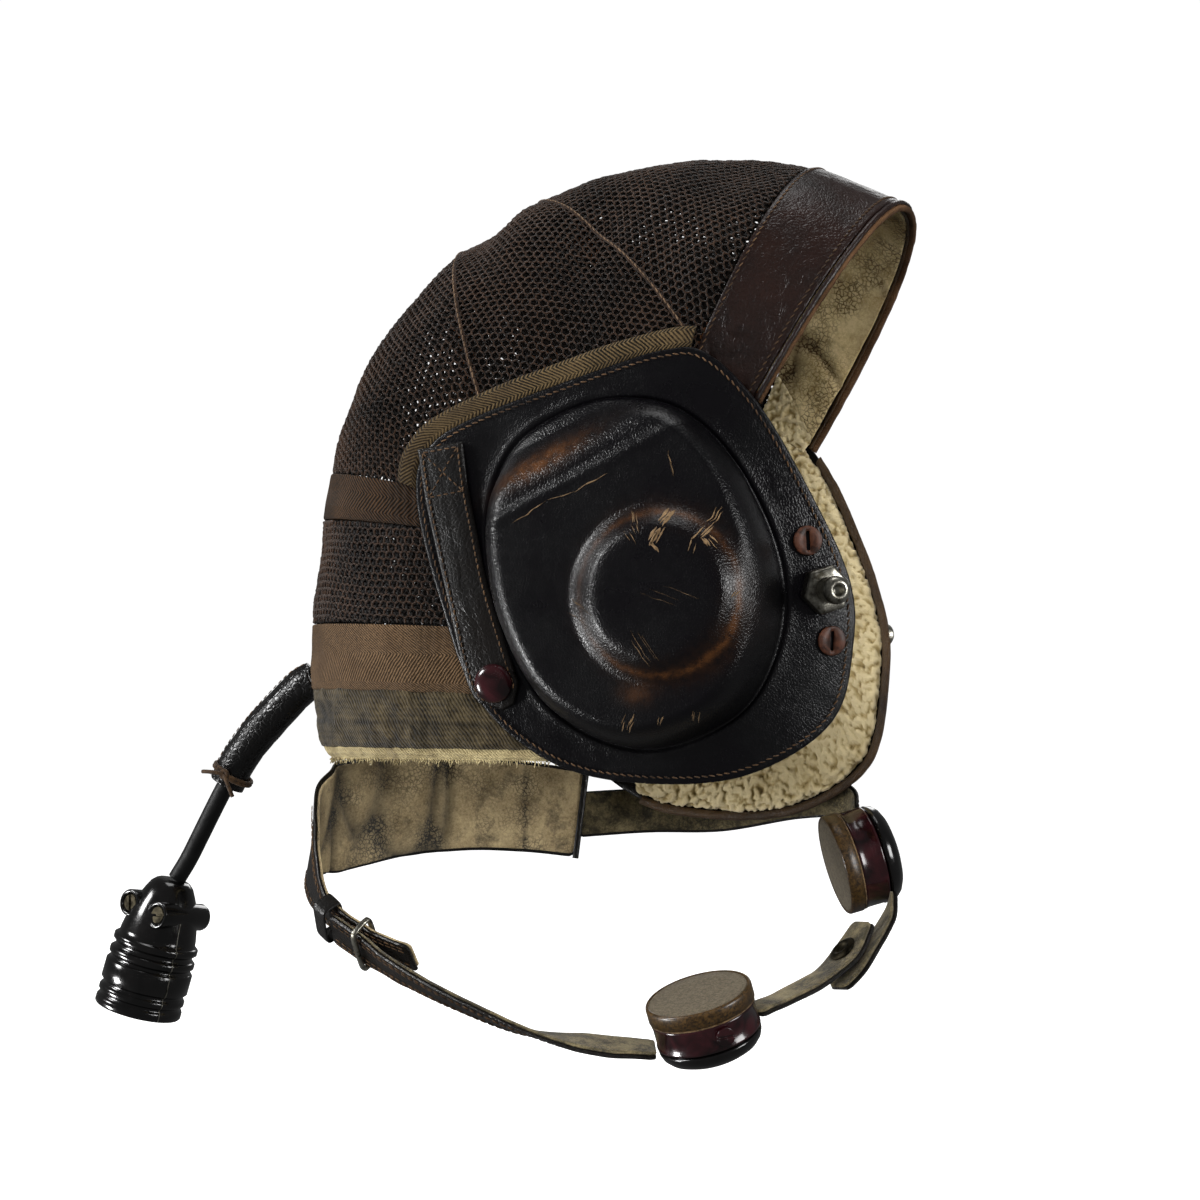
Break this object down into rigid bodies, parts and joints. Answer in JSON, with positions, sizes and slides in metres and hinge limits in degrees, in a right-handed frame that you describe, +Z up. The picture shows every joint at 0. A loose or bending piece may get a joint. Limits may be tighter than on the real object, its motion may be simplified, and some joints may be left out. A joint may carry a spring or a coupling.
{
  "type": "flying helmet",
  "caption": "Close-fitting flying helmet with a netted crown, moulded leather ear panels, fleece-lined flaps, a throat microphone loop and a short plugged lead.",
  "frame": {"origin": "inside of the crown's apex, where the helmet sits on the head", "axes": "+X to the wearer's front, +Y to the wearer's left, +Z up"},
  "size_m": [0.3315, 0.211, 0.336],
  "materials": {
    "net": "open knitted net, matt",
    "tape_dark": "dark brown herringbone tape, matt",
    "tape_brown": "brown herringbone tape, matt",
    "tape_olive": "olive herringbone tape, matt",
    "cloth": "olive cotton cloth, worn",
    "cream": "cream cotton strip, frayed",
    "brow_leather": "dark red-brown grained leather, creased",
    "black_leather": "black moulded leather, satin, worn brown at the edges",
    "brown_leather": "brown binding leather, worn",
    "suede": "beige suede, stained",
    "fleece": "cream cut-pile fleece",
    "maroon_plastic": "dark maroon moulded plastic, glossy",
    "gold_plastic": "gold-brown mottled plastic, satin",
    "black_plastic": "black moulded plastic, glossy",
    "steel": "nickel-plated steel, dulled",
    "washer": "red-brown fibre washer",
    "rubber": "black rubber"
  },
  "bodies": {
    "root": {"net_crown": "net", "net_nape": "net", "nape_tape_upper": "tape_dark", "nape_tape_lower": "tape_brown", "nape_cloth": "cloth", "nape_edge_strip": "cream", "brow_band": "brow_leather", "brow_lining": "suede", "brow_binding": "brown_leather", "seam_band_front": "tape_brown", "seam_band_rear": "tape_brown", "ear_panel_right": "black_leather", "ear_lining_right": "fleece", "ear_binding_right": "brown_leather", "ear_edge_tape_right": "tape_olive", "goggle_tab_right": "black_leather", "snap_button_right": "maroon_plastic", "washer_upper_right": "washer", "washer_lower_right": "washer", "stud_nut_right": "steel", "stud_pin_right": "steel", "ear_panel_left": "black_leather", "ear_lining_left": "fleece", "ear_binding_left": "brown_leather", "ear_edge_tape_left": "tape_olive", "goggle_tab_left": "black_leather", "snap_button_left": "maroon_plastic", "washer_upper_left": "washer", "washer_lower_left": "washer", "stud_nut_left": "steel", "stud_pin_left": "steel", "collar": "black_leather", "strap_right_rear": "black_leather", "strap_right_front": "black_leather", "strap_left_front": "black_leather", "strap_left_rear": "black_leather", "strap_keeper": "black_leather", "buckle": "steel", "strap_snap": "steel", "mic_back_right": "black_plastic", "mic_body_right": "maroon_plastic", "mic_cap_right": "gold_plastic", "mic_screw_right": "maroon_plastic", "mic_back_left": "black_plastic", "mic_body_left": "maroon_plastic", "mic_cap_left": "gold_plastic", "mic_screw_left": "maroon_plastic", "lead_sleeve": "black_leather", "lead_cable": "rubber", "lead_tie": "tape_brown", "plug_screw_front": "steel", "plug_screw_rear": "steel", "plug_body": "black_plastic"}
  },
  "joints": []
}
